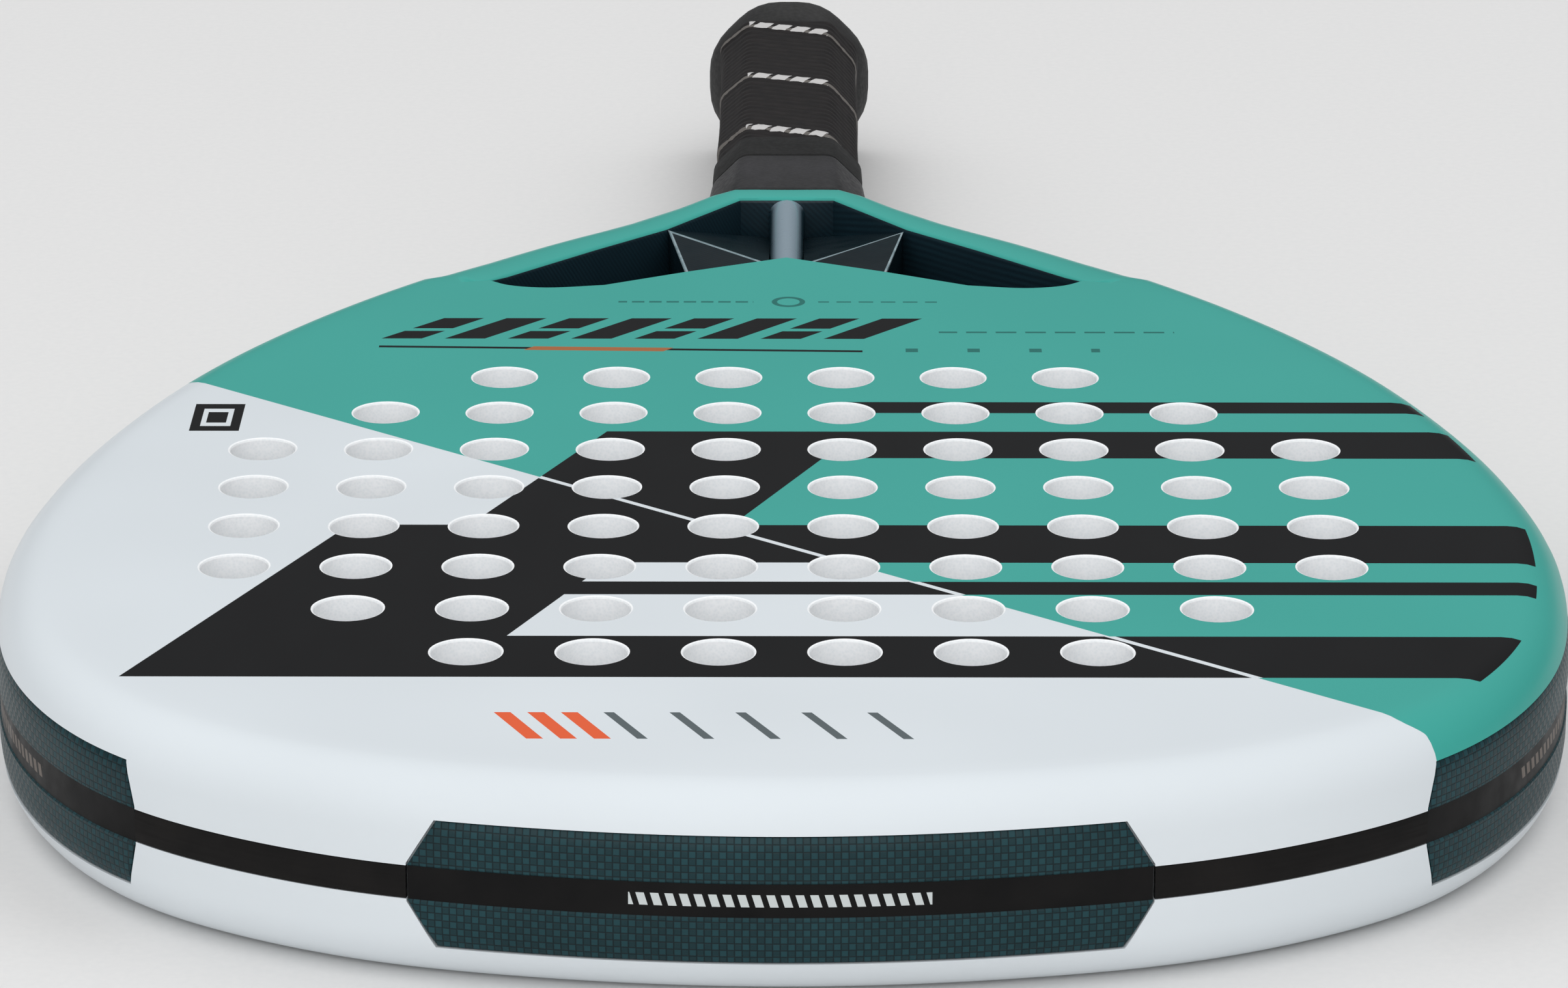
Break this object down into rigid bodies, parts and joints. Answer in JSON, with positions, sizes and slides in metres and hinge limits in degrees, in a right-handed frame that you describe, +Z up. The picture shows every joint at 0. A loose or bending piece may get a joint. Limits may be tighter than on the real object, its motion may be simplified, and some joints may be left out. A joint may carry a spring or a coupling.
{
  "type": "padel racket",
  "caption": "Teardrop padel racket with a drilled head, an open throat with a central rib, rim guards and a wrapped octagonal handle.",
  "frame": {"origin": "middle of the footprint, on the plane that the racket lies on, under the middle of its length", "axes": "+Y from the tip of the head to the butt of the handle, +X across the face, +Z up out of the front face"},
  "size_m": [0.26, 0.455, 0.034],
  "materials": {
    "painted_carbon": "satin mint paint over carbon, white and black where the print runs over the rim",
    "printed_face": "satin printed laminate in mint, white and black",
    "foam": "pale closed-cell foam",
    "gloss_carbon": "glossy clear coat over near-black carbon",
    "woven_guard": "dark teal woven carbon under satin lacquer",
    "edge_rubber": "smooth black rubber",
    "grip_tape": "matte ribbed grip tape with stitched seam",
    "collar_rubber": "moulded matte rubber",
    "pin_steel": "drawn steel"
  },
  "bodies": {
    "root": {"head_frame": "painted_carbon", "front_face_skin": "printed_face", "rear_face_skin": "printed_face", "foam_core": "foam", "throat_bridge": "gloss_carbon", "throat_rib": "gloss_carbon", "throat_web_right": "gloss_carbon", "throat_web_left": "gloss_carbon", "neck_block": "painted_carbon", "tip_guard": "woven_guard", "right_side_guard": "woven_guard", "left_side_guard": "woven_guard", "edge_strip_front_right": "edge_rubber", "edge_strip_front_left": "edge_rubber", "edge_strip_rear_right": "edge_rubber", "edge_strip_rear_left": "edge_rubber", "handle_foam_core": "foam", "handle_shell": "gloss_carbon", "base_grip": "grip_tape", "overgrip": "grip_tape", "finishing_tape": "edge_rubber", "neck_collar": "collar_rubber", "butt_cap": "collar_rubber", "cord_anchor_pin": "pin_steel"}
  },
  "joints": []
}
